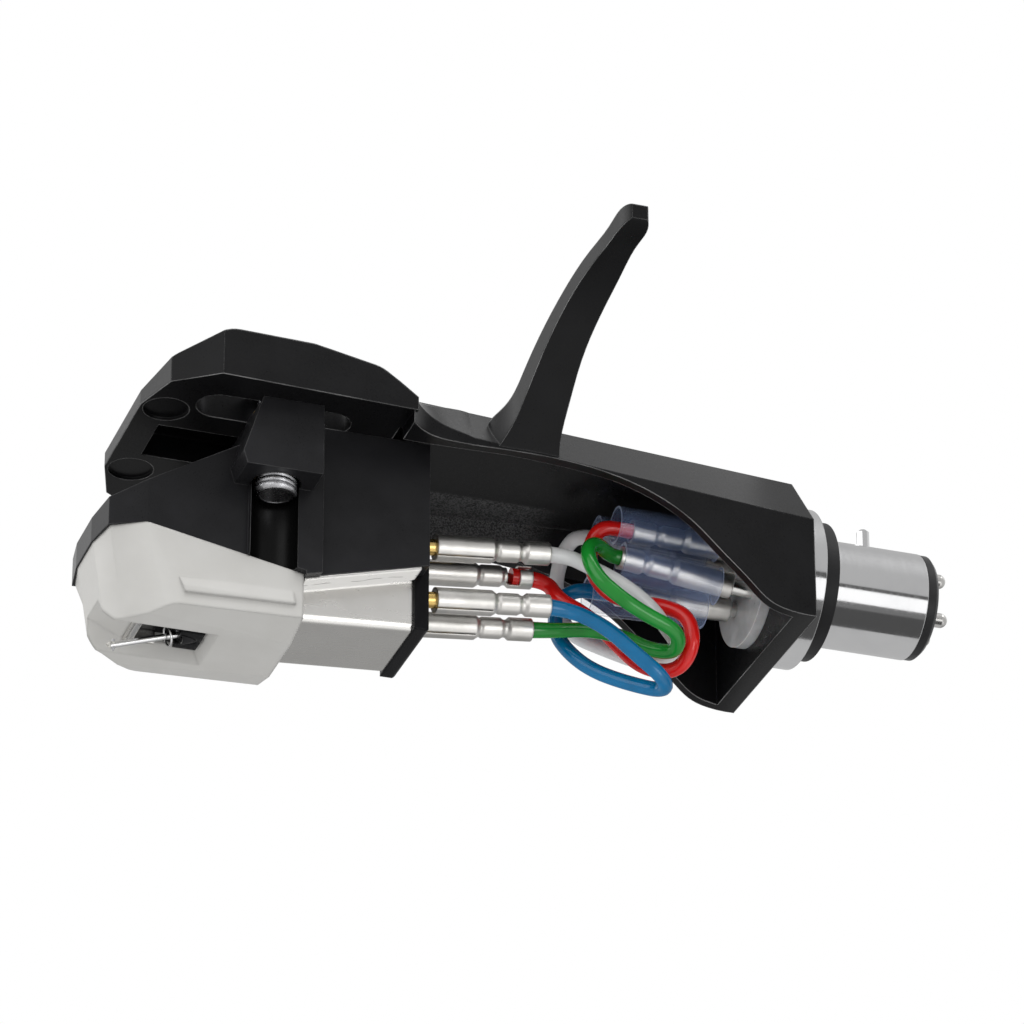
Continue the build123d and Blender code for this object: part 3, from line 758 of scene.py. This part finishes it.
def plug_card(name, angle, spread, level):
    """Curved card beside the plug that only its mirror finish sees."""
    bm = bmesh.new()
    rows = []
    for step in range(-CARD_STEPS, CARD_STEPS + 1):
        turn = math.radians(angle + spread * step / CARD_STEPS)
        y, z = -CARD_AWAY * math.cos(turn), -CARD_AWAY * math.sin(turn)
        rows.append([bm.verts.new(metres((x, y, z))) for x in CARD_ENDS_X])
    for one, two in zip(rows, rows[1:]):
        bm.faces.new((one[0], one[1], two[1], two[0]))
    card = stage_piece(name, bm)
    card.visible_camera = False
    card.visible_diffuse = False
    card.visible_shadow = False
    card.visible_transmission = False
    f = Finish(name + "_paper", Specular_IOR_Level=0.0, Roughness=1.0, Emission_Strength=1.0)
    paper = f.noise(0.05, 2.0)
    card.data.materials.append(f.set(
        Base_Color=(0.0, 0.0, 0.0, 1.0),
        Emission_Color=f.mix(paper, [level * 0.95] * 3, [level] * 3),
    ))


def soft_box(name, place, size, power):
    data = bpy.data.lights.new(name, "AREA")
    data.shape = "RECTANGLE"
    data.size, data.size_y = size
    data.energy = power
    light = bpy.data.objects.new(name, data)
    scene.collection.objects.link(light)
    light.location = place
    light.rotation_mode = "QUATERNION"
    aim = Vector(STUDIO_MIDDLE) - Vector(place)
    light.rotation_quaternion = aim.to_track_quat("-Z", "Y")


def make_surround():
    """White to the eye, soft light on dull surfaces, a shaped room in glossy ones."""
    world = bpy.data.worlds.new("surround")
    scene.world = world
    world.use_nodes = True
    net = Net(world.node_tree)
    background = world.node_tree.nodes["Background"]
    way = net.add("ShaderNodeTexCoord", out="Generated")

    def towards(*direction):
        unit = tuple(Vector(direction).normalized())
        return net.vector("DOT_PRODUCT", {0: way, 1: unit}, out="Value")

    def ray(kind):
        return net.add("ShaderNodeLightPath", out=kind)

    shown = (ray("Is Camera Ray") + ray("Is Transmission Ray")).above(0.4, 0.6)
    mirrored = ray("Is Glossy Ray")
    overhead = towards(0.15, 0.45, 1.0).above(0.2, 0.95)
    low_front = towards(0.287, -0.493, -0.821).above(0.78, 0.93)
    low_back = towards(0.2, 0.85, -0.5).above(0.5, 0.95)
    glint = towards(0.287, -0.875, -0.39).above(0.955, 0.985)
    left_high = towards(-0.82, 0.30, 0.47).above(0.86, 0.98)
    room = 0.56 + overhead * 0.40 + low_front * 0.45 - low_back * 0.24
    glow = room + glint * 2.4 + left_high * 2.0
    ambient = 0.80 + towards(-0.75, -0.10, 0.66) * 0.32
    level = shown + (1.0 - shown) * (mirrored * glow + (1.0 - mirrored) * ambient)
    net.feed(background.inputs["Strength"], level)
    net.feed(background.inputs["Color"], (1.0, 1.0, 1.0, 1.0))


lay_floor()
make_surround()
plug_card("card_grey", angle=-70.0, spread=74.0, level=0.50)
plug_card("card_line", angle=7.5, spread=3.5, level=0.10)
plug_card("card_bright", angle=23.5, spread=12.5, level=1.25)
plug_card("card_mid", angle=42.0, spread=6.0, level=0.19)
plug_card("card_dark", angle=68.0, spread=20.0, level=0.085)
plug_card("card_pale", angle=147.0, spread=59.0, level=0.52)
soft_box("box_left", place=(-0.50, -0.35, 0.10), size=(0.5, 0.5), power=0.8)
soft_box("box_top", place=(0.05, -0.25, 0.55), size=(0.7, 0.35), power=2.6)

scene.view_settings.view_transform = "Standard"
